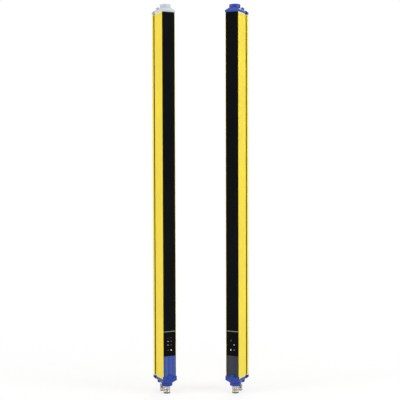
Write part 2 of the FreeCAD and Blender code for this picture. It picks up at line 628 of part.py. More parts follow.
def optics_module(module):
    """Beam carrier: a cell for each beam, open to the lens, with a hole for the diode behind."""
    low = WINDOW_BOTTOM + module * MODULE_LENGTH + MODULE_GAP / 2
    high = low + MODULE_LENGTH - MODULE_GAP
    half = MODULE_WIDTH / 2
    body = box(-half, half, MODULE_FROM_FRONT, OPTICS_BOARD_FRONT, low, high)
    inner = half - MODULE_WALL
    cuts = [box(-inner, inner, MODULE_FROM_FRONT, LENS_STRIP_REAR, low, high)]
    for level in beam_levels(module):
        cuts.append(box(-inner, inner, MODULE_FROM_FRONT, OPTICS_BOARD_FRONT - MODULE_WALL,
                        level - CELL_LENGTH / 2, level + CELL_LENGTH / 2))
        cuts.append(box(-DIODE_HOLE / 2, DIODE_HOLE / 2, MODULE_FROM_FRONT, OPTICS_BOARD_FRONT,
                        level - DIODE_HOLE / 2, level + DIODE_HOLE / 2))
    return body.cut(cuts)


def lens_strip(module):
    """Moulded strip with one domed lens per beam, in the front of its carrier."""
    low = WINDOW_BOTTOM + module * MODULE_LENGTH + MODULE_GAP / 2
    high = low + MODULE_LENGTH - MODULE_GAP
    half = MODULE_WIDTH / 2 - MODULE_WALL - PANE_CLEARANCE
    strip = box(-half, half, MODULE_FROM_FRONT, LENS_STRIP_REAR, low, high)
    sphere_radius = (LENS_RADIUS ** 2 + LENS_RISE ** 2) / (2 * LENS_RISE)
    domes = []
    for level in beam_levels(module):
        centre = FreeCAD.Vector(0, LENS_STRIP_REAR + LENS_RISE - sphere_radius, level)
        half_angle = math.degrees(math.asin(LENS_RADIUS / sphere_radius))
        domes.append(Part.makeSphere(sphere_radius, centre, FreeCAD.Vector(0, 1, 0),
                                     90 - half_angle, 90, 360))
    return strip.fuse(domes).removeSplitter()


def modules(builder):
    """The same piece for every optics module."""
    return Part.makeCompound([builder(module) for module in range(MODULE_COUNT)])


def rail_board(z_low, z_high):
    """A board in the guides of the front chamber."""
    half = INNER_HALF_WIDTH - 2 * BOARD_CLEARANCE
    return box(-half, half, OPTICS_BOARD_FRONT, OPTICS_BOARD_FRONT + BOARD_THICKNESS,
               z_low, z_high)


def on_board(x, z, size, height):
    """A small component on the front of a board in the guides."""
    return box(x - size / 2, x + size / 2, OPTICS_BOARD_FRONT - height, OPTICS_BOARD_FRONT,
               z - size / 2, z + size / 2)


def diodes():
    """One diode behind every lens."""
    places = [level for module in range(MODULE_COUNT) for level in beam_levels(module)]
    return Part.makeCompound([on_board(0, z, DIODE_SIZE, DIODE_HEIGHT) for z in places])


def indicator_leds(indicators):
    """Indicator LEDs on the display board, at (column side, distance below the divider)."""
    return Part.makeCompound([on_board(side * INDICATOR_COLUMN, DISPLAY_TOP - drop,
                                       INDICATOR_SIZE, INDICATOR_HEIGHT)
                              for side, drop in indicators])


def display_light_guides(indicators):
    """Clear moulding: a plate behind the display window and a rod to each indicator LED."""
    front = PANE_BACK + GUIDE_GAP
    back = front + GUIDE_PLATE_THICKNESS
    rod_end = OPTICS_BOARD_FRONT - INDICATOR_HEIGHT - GUIDE_GAP
    drops = [drop for _, drop in indicators]
    half = INDICATOR_COLUMN + GUIDE_PLATE_MARGIN
    plate = box(-half, half, front, back, DISPLAY_TOP - max(drops) - GUIDE_PLATE_MARGIN,
                DISPLAY_TOP - min(drops) + GUIDE_PLATE_MARGIN)
    rods = [Part.makeCylinder(GUIDE_RADIUS, rod_end - back,
                              FreeCAD.Vector(side * INDICATOR_COLUMN, back, DISPLAY_TOP - drop),
                              FreeCAD.Vector(0, 1, 0))
            for side, drop in indicators]
    return joined(plate, rods)


def control_board():
    """Board between the T-slots, standing on the connector board."""
    half = NECK_HALF_WIDTH - 2 * BOARD_CLEARANCE
    return box(-half, half, CONTROL_BOARD_FROM_FRONT, CONTROL_BOARD_FROM_FRONT + BOARD_THICKNESS,
               -CONNECTOR_BOARD_LEVEL, CONTROL_BOARD_LENGTH)


# ---- one bar and the pair ------------------------------------------------------------------------

def at_top(shape):
    """An end piece moved to the upper end of the profile."""
    moved = shape.copy()
    moved.translate(FreeCAD.Vector(0, 0, HOUSING_LENGTH))
    return moved


def at_bottom(shape):
    """An end piece turned over to the lower end, with its front still to the front."""
    turned_over = shape.copy()
    turned_over.rotate(FreeCAD.Vector(0, 0, 0), FreeCAD.Vector(0, 1, 0), 180)
    return turned_over


def bar(indicators, diode_name, with_lamp):
    """All the pieces of one bar, by name."""
    pieces = {
        "housing_profile": housing_profile(),
        "front_window": pane(WINDOW_BOTTOM, FIELD_LENGTH + GASKET_THICKNESS),
        "window_divider": pane(DIVIDER_BOTTOM, DIVIDER_LENGTH),
        "display_window": pane(DISPLAY_BOTTOM, DISPLAY_LENGTH),
        "name_plate": pane(END_MARGIN - GASKET_THICKNESS, NAME_PLATE_LENGTH + GASKET_THICKNESS),
        "window_seals": window_seals(),
        "top_cap": at_top(top_cap()),
        "top_gasket": at_top(gasket()),
        "top_cap_screws": at_top(cap_screws()),
        "bottom_cap": at_bottom(bottom_cap()),
        "bottom_gasket": at_bottom(gasket()),
        "bottom_cap_screws": at_bottom(cap_screws()),
        "system_connector_shell": at_bottom(system_connector_shell()),
        "system_connector_insert": at_bottom(system_connector_insert()),
        "system_connector_pins": at_bottom(system_connector_pins()),
        "system_connector_nut": at_bottom(system_connector_nut()),
        "system_connector_seal": at_bottom(system_connector_seal()),
        "extension_connector_shell": at_bottom(extension_connector_shell()),
        "extension_connector_insert": at_bottom(extension_connector_insert()),
        "extension_connector_contacts": at_bottom(extension_connector_contacts()),
        "connector_board": at_bottom(connector_board()),
        "control_board": control_board(),
        "optics_modules": modules(optics_module),
        "lens_strips": modules(lens_strip),
        "diode_board": rail_board(WINDOW_BOTTOM, WINDOW_BOTTOM + FIELD_LENGTH),
        diode_name: diodes(),
        "display_board": rail_board(DISPLAY_BOTTOM, DISPLAY_TOP),
        "indicator_leds": indicator_leds(indicators),
        "display_light_guides": display_light_guides(indicators),
    }
    if with_lamp:
        pieces["lamp_board"] = at_top(lamp_board())
        pieces["lamp_leds"] = at_top(lamp_leds())
    return pieces


def place(shape, side):
    """A bar's piece in the pair: side is -1 for the receiver and +1 for the sender."""
    placed = shape.copy()
    placed.translate(FreeCAD.Vector(0, -HOUSING_DEPTH / 2, CONNECTOR_END))
    placed.rotate(FreeCAD.Vector(0, 0, 0), FreeCAD.Vector(0, 0, 1), -side * TOE_IN_DEG)
    placed.translate(FreeCAD.Vector(side * BAR_SPACING / 2, 0, 0))
    return placed


# indicators as (side of the middle, distance below the divider)
RECEIVER_INDICATORS = [(side, drop) for drop in (17.0, 27.0, 37.0, 52.0) for side in (-1, 1)]
SENDER_INDICATORS = [(-1, 26.0), (1, 37.0), (-1, 52.0), (1, 52.0)]


def pair():
    """Every piece of both bars, by name, in the pair's frame."""
    named = {}
    for name, shape in bar(RECEIVER_INDICATORS, "photodiodes", True).items():
        named["receiver_" + name] = place(shape, -1)
    for name, shape in bar(SENDER_INDICATORS, "emitter_diodes", False).items():
        named["sender_" + name] = place(shape, 1)
    footprint = Part.makeCompound(list(named.values())).optimalBoundingBox(False, False)
    to_middle = FreeCAD.Vector(0, -(footprint.YMin + footprint.YMax) / 2, 0)
    for shape in named.values():
        shape.translate(to_middle)
    return named


def main():
    """Write one STEP file for each named piece."""
    os.makedirs("parts", exist_ok=True)
    for name, shape in pair().items():
        shape.exportStep("parts/" + name + ".step")


main()
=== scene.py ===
"""Looks of the safety light curtain: finishes for the modelled nodes, threaded connector shells,
display marks and plate films as pieces of their own, and a plain studio around the pair.

Lengths in the building code are in millimetres in a bar's own frame: x across the bar, y from its
front face to the rear, z up from the lower end of its profile. Bar.matrix takes them to the scene.
"""
import math

import bpy
from mathutils import Matrix, Vector


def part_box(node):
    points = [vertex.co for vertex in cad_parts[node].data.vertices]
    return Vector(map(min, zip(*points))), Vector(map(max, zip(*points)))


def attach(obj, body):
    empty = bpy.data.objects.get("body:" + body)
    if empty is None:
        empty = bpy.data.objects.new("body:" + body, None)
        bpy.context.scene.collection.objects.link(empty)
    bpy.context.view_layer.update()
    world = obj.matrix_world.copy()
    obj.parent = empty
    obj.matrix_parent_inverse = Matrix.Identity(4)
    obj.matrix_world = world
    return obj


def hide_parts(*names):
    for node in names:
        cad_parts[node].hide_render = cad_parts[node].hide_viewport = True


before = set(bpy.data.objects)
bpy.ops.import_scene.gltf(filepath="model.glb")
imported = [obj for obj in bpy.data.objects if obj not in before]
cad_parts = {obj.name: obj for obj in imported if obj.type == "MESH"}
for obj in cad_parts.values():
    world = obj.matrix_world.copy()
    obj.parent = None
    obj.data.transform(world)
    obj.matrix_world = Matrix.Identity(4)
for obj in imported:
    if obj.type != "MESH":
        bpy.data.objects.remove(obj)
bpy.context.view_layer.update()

# ---- sizes, in mm ------------------------------------------------------------------------------

# large connector, on the axis of the bottom cap's boss
BOSS_FROM_FRONT = 21.0       # its axis, from the bar's front face
SYSTEM_BORE_RADIUS = 6.8
SYSTEM_NECK_RADIUS = 8.0
SYSTEM_NECK_LENGTH = 9.3     # from the shell's upper end to the collar
SYSTEM_SOCKET_RADIUS = 7.7
SYSTEM_SOCKET_DEPTH = 15.0
COLLAR_RADIUS = 10.0
COLLAR_LENGTH = 4.0
COLLAR_RIBS = 40
COLLAR_RIB_DEPTH = 0.35
COLLAR_EDGE = 0.5
COUPLING_RADIUS = 9.5
SYSTEM_THREAD_PITCH = 1.5
SYSTEM_THREAD_DEPTH = 0.6
SYSTEM_UNDERCUT = 0.9        # between the collar and the thread
SYSTEM_THREAD_START = 0.4    # below the collar
GROOVE_DEPTH = 1.0           # of the groove between the thread and the rim
GROOVE_TOP = 4.8             # above the shell's lower end
SYSTEM_RIM_LENGTH = 3.4
SYSTEM_RIM_EDGE = 0.2        # chamfer at the rim's upper edge
SYSTEM_MOUTH_CHAMFER = 0.3
KEY_HALF_WIDTH = 1.0
KEY_HEIGHT = 1.2
KEY_ROOT = 0.5               # how far the key reaches into the socket's wall
KEY_SET_BACK = 1.0           # inside the rim
KEY_TOP = 13.0               # above the shell's lower end

# small connector, on the pedestal behind it
EXTENSION_BORE_RADIUS = 4.2
EXTENSION_NECK_RADIUS = 5.2
EXTENSION_NECK_LENGTH = 14.0  # from the shell's upper end to the flange
FLANGE_RADIUS = 8.0
FLANGE_LENGTH = 2.0
FLANGE_CHAMFER = 0.25
EXTENSION_RADIUS = 6.0
EXTENSION_THREAD_PITCH = 1.0
EXTENSION_THREAD_DEPTH = 0.55
EXTENSION_UNDERCUT = 0.6
EXTENSION_RIM_LENGTH = 2.6
EXTENSION_RIM_EDGE = 0.3
EXTENSION_MOUTH_CHAMFER = 0.2

# both connectors
SYSTEM_SEGMENTS = 240
SYSTEM_RIM_SEGMENTS = 160
EXTENSION_SEGMENTS = 96
COLLAR_ROW_STEP = 0.35       # between the rows of points along the ribs
SYSTEM_ROW_STEP = 0.14       # and along the threads
EXTENSION_ROW_STEP = 0.11
RELIEF_MARGIN = 0.3          # of ribs and threads, from the ends of their zone
RELIEF_LEAST = 0.15          # share of the full depth at the ends of their zone
RIDGE_ROOT = 0.85            # where a ridge's flank meets its root, in half pitches
RIDGE_FLANK = 0.6            # the flank's width, in half pitches
RIM_CHAMFER = 0.6            # at the rim's outer lower edge
FACE_STEP = 0.05             # keeps two rows at one shoulder apart

CREASE_DEG = 38.0            # an edge that bends more than this is sharp

# pads and films on the panes and plates
PANE_FRONT = 0.2             # how far the panes lie behind the bar's front face
PAD_GAP = 0.001              # between a pad and the pane behind it
PAD_THICKNESS = 0.12         # from the pane to a pad's front
PAD_CREASE_DEG = 15.0        # lower, so that a pad's flat face isn't shaded round
MARK_BEVEL = 0.06
MARK_POINTS = 32
COLUMN = 5.0                 # from the middle of the bar to a column of marks
FILM_HALF_WIDTH = 17.4
FILM_MARGIN = 1.2            # from the plate's ends
FILM_CORNER_RADIUS = 2.0
FILM_CORNER_STEPS = 6
FILM_BEVEL = 0.08

# outlines of the display marks as (half length, radius, tilt in degrees)
MARK_SHAPES = {"lamp": (0.0, 1.5, 0.0), "dot": (0.0, 0.8, 0.0), "speck": (0.0, 0.6, 0.0),
               "bar": (1.3, 0.75, 0.0), "slash": (1.1, 0.5, 50.0)}

# display marks by finish, as (column, distance below the divider, shape)
RECEIVER_MARKS = {
    "amber": [(1, 52.0, "lamp")],
    "print": [(-1, 17.0, "speck"), (1, 17.0, "speck"), (-1, 27.0, "bar"), (1, 27.0, "dot"),
              (-1, 37.0, "bar"), (1, 37.0, "dot"), (-1, 52.0, "speck")]}
SENDER_MARKS = {
    "amber": [(-1, 52.0, "lamp")],
    "cool": [(1, 37.0, "lamp")],
    "print": [(-1, 26.0, "dot"), (1, 52.0, "slash")]}

# ---- light, camera and floor, in metres, watts and degrees --------------------------------------

BLACK, WHITE = (0.0, 0.0, 0.0, 1.0), (1.0, 1.0, 1.0, 1.0)
AMBIENT = 0.36               # strength of the room's light
DARK_SIDE = 0.2              # the unlit side of the room, as reflections see it
DARK_FROM, DARK_AT = -0.5, -0.95    # Y of the directions where it starts and is full
FLOOR_REACH = 30.0
FLOOR_TONES = (0.86, 0.89)
WHITE_NEAR, WHITE_FAR = 0.3, 1.1    # where the floor starts and ends turning white
WHITE_LEAST = 0.72           # how white it is at the object

MIDDLE = (0.0, 0.0, 0.6)
FOOT = (0.0, 0.0, 0.1)
# soft boxes as (name, place, aim, size, power, tint)
LAMPS = [("left_box", (-3.0, -1.3, 2.0), MIDDLE, 1.6, 52.0, (1.0, 0.94, 0.88)),
         ("right_box", (3.0, -1.3, 1.8), MIDDLE, 1.6, 56.0, (0.965, 1.0, 0.95)),
         ("top_box", (0.0, -0.6, 3.4), MIDDLE, 1.8, 32.0, (1.0, 1.0, 1.0)),
         ("front_box", (0.1, -2.4, 0.7), FOOT, 1.0, 11.0, (0.98, 0.99, 1.0)),
         ("back_box", (0.6, 2.8, 2.2), MIDDLE, 1.8, 36.0, (1.0, 1.0, 1.0))]

CAMERA_PLACE = (-0.0017, -2.663, 0.650)
CAMERA_LENS = 83.64          # mm
SENSOR_WIDTH = 36.0          # mm
CAMERA_DIP = 2.06            # below the horizon
CAMERA_ROLL = -0.17


def colour(code):
    """Scene-linear colour of a hexadecimal display colour."""
    parts = [int(code[at:at + 2], 16) / 255 for at in (1, 3, 5)]
    linear = [part / 12.92 if part <= 0.04045 else ((part + 0.055) / 1.055) ** 2.4
              for part in parts]
    return (*linear, 1.0)


def shade(rgba, factor):
    """The same colour, lighter or darker."""
    return (*[min(1.0, part * factor) for part in rgba[:3]], 1.0)


# ---- materials ---------------------------------------------------------------------------------

class Graph:
    """The node tree of a material or a world, built with short calls."""

    def __init__(self, owner):
        self.owner = owner
        owner.use_nodes = True
        self.tree = owner.node_tree
        self.tree.nodes.clear()
        self.coordinates = self.add("ShaderNodeTexCoord").outputs
        self.place = self.coordinates["Object"]

    def feed(self, socket, value):
        """Links an output to a socket, or sets the socket's own value."""
        if isinstance(value, bpy.types.NodeSocket):
            self.tree.links.new(value, socket)
        else:
            socket.default_value = value

    def add(self, kind, settings=None, **inputs):
        """A node with its settings and inputs; an input's spaces are written as underscores."""
        node = self.tree.nodes.new(kind)
        for key, value in (settings or {}).items():
            setattr(node, key, value)
        for key, value in inputs.items():
            self.feed(node.inputs[key.replace("_", " ")], value)
        return node

    def stretched(self, x, y, z):
        """The place on the object, scaled along each axis."""
        return self.add("ShaderNodeMapping", {"vector_type": "POINT"}, Vector=self.place,
                        Scale=(x, y, z)).outputs["Vector"]

    def noise(self, vector, scale, detail):
        """Soft noise with that many features per metre."""
        return self.add("ShaderNodeTexNoise", None, Vector=vector, Scale=scale,
                        Detail=detail).outputs["Fac"]

    def drift(self, vector, scale, detail, out_low=0.0, out_high=1.0):
        """Noise spread over a whole range of values."""
        return self.ramp(self.noise(vector, scale, detail), 0.3, 0.7, out_low, out_high)

    def cells(self, vector, scale):
        """Distance to the nearest point of an irregular lattice."""
        return self.add("ShaderNodeTexVoronoi", None, Vector=vector,
                        Scale=scale).outputs["Distance"]

    def ramp(self, value, low, high, out_low=0.0, out_high=1.0, kind="LINEAR"):
        """The value mapped from one range to another and kept inside it."""
        node = self.add("ShaderNodeMapRange", {"clamp": True, "interpolation_type": kind},
                        Value=value)
        for name, number in (("From Min", low), ("From Max", high), ("To Min", out_low),
                             ("To Max", out_high)):
            node.inputs[name].default_value = number
        return node.outputs["Result"]

    def math(self, operation, first, second=0.0):
        """One step of arithmetic on two values."""
        node = self.add("ShaderNodeMath", {"operation": operation})
        self.feed(node.inputs[0], first)
        self.feed(node.inputs[1], second)
        return node.outputs[0]

    def mix(self, factor, first, second):
        """A blend of two colours. The node holds its colours in inputs 6 and 7 and output 2."""
        node = self.add("ShaderNodeMix", {"data_type": "RGBA"})
        self.feed(node.inputs[0], factor)
        self.feed(node.inputs[6], first)
        self.feed(node.inputs[7], second)
        return node.outputs[2]

    def dot(self, first, second):
        """The dot product of two directions."""
        node = self.add("ShaderNodeVectorMath", {"operation": "DOT_PRODUCT"})
        self.feed(node.inputs[0], first)
        self.feed(node.inputs[1], second)
        return node.outputs["Value"]

    def true_normal(self):
        """The surface's own normal, before any bevel or bump."""
        return self.add("ShaderNodeNewGeometry").outputs["Normal"]

    def rounded(self, radius):
        """The normal of the surface as if its edges were rounded."""
        return self.add("ShaderNodeBevel", {"samples": 4}, Radius=radius).outputs["Normal"]

    def edges(self, radius, breakup):
        """1 along edges of that radius, broken up by a noise with that many features per metre."""
        bent = self.ramp(self.dot(self.rounded(radius), self.true_normal()), 0.995, 0.93)
        patchy = self.ramp(self.noise(self.place, breakup, 4.0), 0.42, 0.62)
        return self.math("MULTIPLY", bent, patchy)

    def recess_shade_mask(self, reach, open_from, closed_to):
        """1 in slots and corners that ambient occlusion finds closed in: the mask of painted
        shade.
        """
        node = self.add("ShaderNodeAmbientOcclusion", {"samples": 8}, Distance=reach)
        return self.ramp(node.outputs["AO"], open_from, closed_to)

    def facing(self, direction):
        """1 on the faces that look along a direction or against it, 0 on those across it."""
        return self.math("ABSOLUTE", self.dot(self.true_normal(), direction))

    def bump(self, height, distance, normal):
        """The normal over a relief of that depth in metres."""
        return self.add("ShaderNodeBump", None, Height=height, Normal=normal,
                        Distance=distance).outputs["Normal"]

    def out(self, kind, shader):
        """Ends the tree in an output node of that kind."""
        self.tree.links.new(shader, self.add(kind).inputs[0])

    def finish(self, **inputs):
        """The material with one principled shader as its surface."""
        self.out("ShaderNodeOutputMaterial",
                 self.add("ShaderNodeBsdfPrincipled", None, **inputs).outputs[0])
        return self.owner


def new_material(name):
    """The empty graph of a new material."""
    return Graph(bpy.data.materials.new(name))


def surface(name, base, contrast, patch, rough, grain, depth, wear=None):
    """A finish that varies in colour and gloss, has a fine grain and softly rounded edges.

    contrast is the share by which the colour varies, patch and grain are noise scales per metre,
    rough is the range of the roughness, depth the grain's height in metres, and wear the colour
    of rubbed edges.
    """
    graph = new_material(name)
    cloud = graph.drift(graph.place, patch, 4.0)
    tint = graph.mix(cloud, shade(base, 1 - contrast), shade(base, 1 + contrast))
    if wear:
        tint = graph.mix(graph.edges(radius=0.0005, breakup=220.0), tint, wear)
    gloss = graph.drift(graph.place, 2.7 * patch, 3.0, *rough)
    normal = graph.bump(graph.noise(graph.place, grain, 2.0), depth, graph.rounded(0.0003))
    return graph.finish(Base_Color=tint, Roughness=gloss, Normal=normal)


def powder_coat():
    """Yellow powder coat: orange peel over slow gloss changes, rubbed along the edges."""
    graph = new_material("yellow_coat")
    yellow = colour("#E8D018")
    cloud = graph.drift(graph.place, 9.0, 4.0)
    tint = graph.mix(cloud, shade(yellow, 0.96), shade(yellow, 1.03))
    speck = graph.ramp(graph.noise(graph.place, 900.0, 2.0), 0.66, 0.74, 0.0, 0.25)
    tint = graph.mix(speck, tint, shade(yellow, 0.8))
    worn = graph.edges(radius=0.0006, breakup=160.0)
    tint = graph.mix(worn, tint, colour("#F6E9A0"))
    # painted shade: slots and corners darkened towards dark olive where ambient occlusion finds
    # them closed in
    painted_shade = graph.recess_shade_mask(reach=0.014, open_from=0.92, closed_to=0.5)
    tint = graph.mix(painted_shade, tint, colour("#54430A"))
    along = graph.stretched(60.0, 60.0, 2.0)
    gloss = graph.drift(along, 1.0, 4.0, 0.34, 0.5)
    die_lines = graph.noise(graph.stretched(700.0, 700.0, 1.2), 1.0, 2.0)
    normal = graph.bump(die_lines, 0.000025, graph.rounded(0.0004))
    normal = graph.bump(graph.noise(graph.place, 1400.0, 2.0), 0.00007, normal)
    return graph.finish(Base_Color=tint, Roughness=gloss, Normal=normal, Specular_IOR_Level=0.35)


def filter_pane(name, base):
    """Dark polished filter plastic with faint wipe marks along its length."""
    graph = new_material(name)
    cloud = graph.drift(graph.place, 14.0, 3.0)
    tint = graph.mix(cloud, shade(base, 0.85), shade(base, 1.2))
    wipes = graph.noise(graph.stretched(420.0, 420.0, 9.0), 1.0, 3.0)
    smear = graph.noise(graph.stretched(25.0, 25.0, 6.0), 1.0, 3.0)
    gloss = graph.math("ADD", graph.ramp(wipes, 0.45, 0.75, 0.05, 0.12),
                       graph.ramp(smear, 0.4, 0.7, 0.0, 0.1))
    normal = graph.bump(smear, 0.00001, graph.rounded(0.0003))
    return graph.finish(Base_Color=tint, Roughness=gloss, Normal=normal,
                        Specular_IOR_Level=0.05, IOR=1.49)


def striped_plate(name, base, light):
    """Satin plate film, lighter in soft streaks along its length."""
    graph = new_material(name)
    streak = graph.ramp(graph.noise(graph.stretched(110.0, 110.0, 1.5), 1.0, 2.0), 0.4, 0.68)
    tint = graph.mix(streak, base, light)
    mottled = graph.ramp(graph.noise(graph.place, 300.0, 3.0), 0.35, 0.65, 0.0, 0.18)
    tint = graph.mix(mottled, tint, shade(base, 0.75))
    # painted shade: the film darkened next to raised edges, from ambient occlusion
    painted_shade = graph.recess_shade_mask(reach=0.004, open_from=0.95, closed_to=0.55)
    tint = graph.mix(painted_shade, tint, shade(base, 0.2))
    gloss = graph.drift(graph.place, 70.0, 3.0, 0.32, 0.46)
    normal = graph.bump(graph.noise(graph.place, 2600.0, 2.0), 0.000012, graph.rounded(0.0003))
    return graph.finish(Base_Color=tint, Roughness=gloss, Normal=normal, Specular_IOR_Level=0.4)


def moulded(name, base, rough, **constants):
    """Moulded plastic with a spark-eroded grain, painted shade in its recesses, and edges that are
    glossier from handling and lightened as a painted highlight.
    """
    graph = new_material(name)
    cloud = graph.drift(graph.place, 45.0, 4.0)
    tint = graph.mix(cloud, shade(base, 0.93), shade(base, 1.06))
    # painted shade: recesses and corners darkened, from ambient occlusion
    painted_shade = graph.recess_shade_mask(reach=0.008, open_from=0.92, closed_to=0.4)
    tint = graph.mix(painted_shade, tint, shade(base, 0.3))
    # painted highlight: the edges' colour is lightened so that they seem to shine; their lower
    # roughness is real polish
    polished = graph.edges(radius=0.0006, breakup=120.0)
    tint = graph.mix(graph.math("MULTIPLY", polished, 0.4), tint, shade(base, 1.7))
    gloss = graph.drift(graph.place, 130.0, 3.0, *rough)
    gloss = graph.math("SUBTRACT", gloss, graph.math("MULTIPLY", polished, 0.1))
    pits = graph.cells(graph.place, 2200.0)
    normal = graph.bump(pits, 0.00003, graph.rounded(0.0006))
    return graph.finish(Base_Color=tint, Roughness=gloss, Normal=normal, **constants)


def metal(name, base, rough, **constants):
    """Machined or plated metal: fine turning lines, spots of duller plating, bright edges and
    painted shade in its recesses.
    """
    graph = new_material(name)
    spots = graph.ramp(graph.noise(graph.place, 260.0, 4.0), 0.4, 0.7)
    tint = graph.mix(spots, base, shade(base, 0.82))
    # painted shade: threads and grooves darkened where ambient occlusion finds them closed in
    painted_shade = graph.recess_shade_mask(reach=0.0025, open_from=0.9, closed_to=0.45)
    tint = graph.mix(painted_shade, tint, shade(base, 0.22))
    worn = graph.edges(radius=0.0003, breakup=300.0)
    tint = graph.mix(worn, tint, shade(base, 1.2))
    lines = graph.noise(graph.stretched(40.0, 40.0, 5200.0), 1.0, 3.0)
    gloss = graph.ramp(lines, 0.3, 0.7, *rough)
    normal = graph.bump(lines, 0.000006, graph.rounded(0.0002))
    return graph.finish(Base_Color=tint, Roughness=gloss, Normal=normal, Metallic=1.0,
                        **constants)


def circuit_board():
    """Green solder mask with copper tracks under it and plated spots."""
    graph = new_material("board")
    mask, track = colour("#12402A"), colour("#2C6A45")
    lines = graph.add("ShaderNodeTexBrick", {"offset": 0.5}, Vector=graph.place, Scale=260.0,
                      Mortar_Size=0.035, Color1=BLACK, Color2=BLACK, Mortar=WHITE)
    tint = graph.mix(lines.outputs["Color"], mask, track)
    spots = graph.ramp(graph.cells(graph.place, 420.0), 0.16, 0.12)
    tint = graph.mix(spots, tint, colour("#C8B27A"))
    gloss = graph.drift(graph.place, 90.0, 3.0, 0.25, 0.4)
    normal = graph.bump(lines.outputs["Fac"], 0.00003, graph.rounded(0.0002))
    return graph.finish(Base_Color=tint, Roughness=gloss, Normal=normal)


def clear_plastic(name, base, rough):
    """Clear moulding with slow flow waves."""
    graph = new_material(name)
    flow = graph.noise(graph.stretched(60.0, 60.0, 18.0), 1.0, 2.0)
    gloss = graph.ramp(flow, 0.3, 0.7, *rough)
    normal = graph.bump(flow, 0.00004, graph.rounded(0.0003))
    cloud = graph.drift(graph.place, 60.0, 3.0)
    tint = graph.mix(cloud, shade(base, 0.95), base)
    return graph.finish(Base_Color=tint, Roughness=gloss, Normal=normal, IOR=1.49,
                        Transmission_Weight=0.9)


def milky_cap():
    """Milk-white translucent moulding of the receiver's upper cap, with painted yellow light next
    to the profile.

    The painted cream light lies on the two side faces, in their lowest millimetres.
    """
    graph = new_material("cap_translucent")
    base = colour("#B8BFC5")
    cloud = graph.drift(graph.place, 38.0, 4.0)
    tint = graph.mix(cloud, shade(base, 0.93), shade(base, 1.03))
    # painted shade: corners and recesses darkened towards grey lilac, from ambient occlusion
    painted_shade = graph.recess_shade_mask(reach=0.008, open_from=0.92, closed_to=0.4)
    tint = graph.mix(painted_shade, tint, colour("#A9AEBB"))
    # painted light: a cream glow on the side faces just above the yellow profile, standing for its
    # yellow light in the translucent cap
    low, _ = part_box("receiver_top_cap")
    height = graph.add("ShaderNodeSeparateXYZ", None, Vector=graph.place).outputs["Z"]
    near = graph.ramp(height, low[2] + 0.001, low[2] + 0.006, 0.6, 0.0)
    side = graph.ramp(graph.facing(Bar("receiver").across), 0.6, 0.9)
    tint = graph.mix(graph.math("MULTIPLY", near, side), tint, colour("#E8E2C4"))
    gloss = graph.drift(graph.place, 120.0, 3.0, 0.28, 0.42)
    normal = graph.bump(graph.cells(graph.place, 2200.0), 0.00002, graph.rounded(0.0006))
    return graph.finish(Base_Color=tint, Roughness=gloss, Normal=normal, IOR=1.5,
                        Subsurface_Weight=0.6, Subsurface_Radius=(0.006, 0.0065, 0.007),
                        Subsurface_Scale=1.0)


def glowing(name, base, strength):
    """A lit lens or a diode's face, brightest where its cover is thin."""
    graph = new_material(name)
    flecks = graph.drift(graph.place, 700.0, 2.0)
    tint = graph.mix(flecks, shade(base, 0.85), base)
    normal = graph.bump(flecks, 0.00001, graph.rounded(0.0002))
    return graph.finish(Base_Color=tint, Roughness=0.25, Normal=normal, Emission_Color=tint,
                        Emission_Strength=strength)


def make_materials():
    """The finish of every material slot of the record, by slot, and of the new pieces."""
    return {
        "yellow_coat": powder_coat(),
        "infrared_pane": filter_pane("infrared_pane", colour("#08090C")),
        "display_pane": filter_pane("display_pane", colour("#08080A")),
        "divider": surface("divider", colour("#7A7A6E"), 0.06, 80.0, (0.35, 0.5), 2400.0,
                           0.00001, wear=colour("#C9C9BE")),
        "plate_blue": striped_plate("plate_blue", colour("#283F92"), colour("#3A60A6")),
        "plate_dark": striped_plate("plate_dark", colour("#1C2033"), colour("#2B3038")),
        "cap_blue": moulded("cap_blue", colour("#263E98"), (0.34, 0.46),
                            Specular_IOR_Level=0.25),
        "cap_translucent": milky_cap(),
        "gasket": surface("gasket", colour("#E3E6C6"), 0.05, 60.0, (0.55, 0.7), 1800.0, 0.00003),
        "seal": surface("seal", colour("#1B1B1B"), 0.12, 60.0, (0.6, 0.75), 1500.0, 0.00004),
        "steel": metal("steel", colour("#B9BABB"), (0.22, 0.38), Anisotropic=0.3),
        "nickel": metal("nickel", colour("#D3CFC4"), (0.16, 0.3)),
        # a darker copy of nickel for the connectors' lower rims: painted shade for the dark rim
        # under each connector
        "nickel_painted_shade": metal("nickel_painted_shade", colour("#7C776B"), (0.2, 0.34)),
        "brass": metal("brass", colour("#C9A354"), (0.25, 0.4)),
        "gold": metal("gold", colour("#E2BC62"), (0.15, 0.28)),
        "insert_black": moulded("insert_black", colour("#1C1C1E"), (0.45, 0.6)),
        "board": circuit_board(),
        "optics_black": moulded("optics_black", colour("#161617"), (0.55, 0.7)),
        "lens": clear_plastic("lens", colour("#E6E2F2"), (0.02, 0.06)),
        "diode": clear_plastic("diode", colour("#6A5A66"), (0.04, 0.1)),
        "led": glowing("led", colour("#F2E7B8"), 0.2),
        "clear": clear_plastic("clear", colour("#F4F6F5"), (0.03, 0.08)),
        "amber_mark": glowing("amber_mark", colour("#EFE6CC"), 0.45),
        "cool_mark": glowing("cool_mark", colour("#B0BECC"), 0.2),
        "print_mark": surface("print_mark", colour("#B2B2AA"), 0.1, 500.0, (0.45, 0.6),
                              3000.0, 0.000008),
    }


def paint_nodes(materials):
    """Gives every modelled node the finish of its slot."""
    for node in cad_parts.values():
        for place in node.material_slots:
            slot = place.material.name.split(".")[0]
            place.material = materials[slot]


# ---- building pieces ---------------------------------------------------------------------------

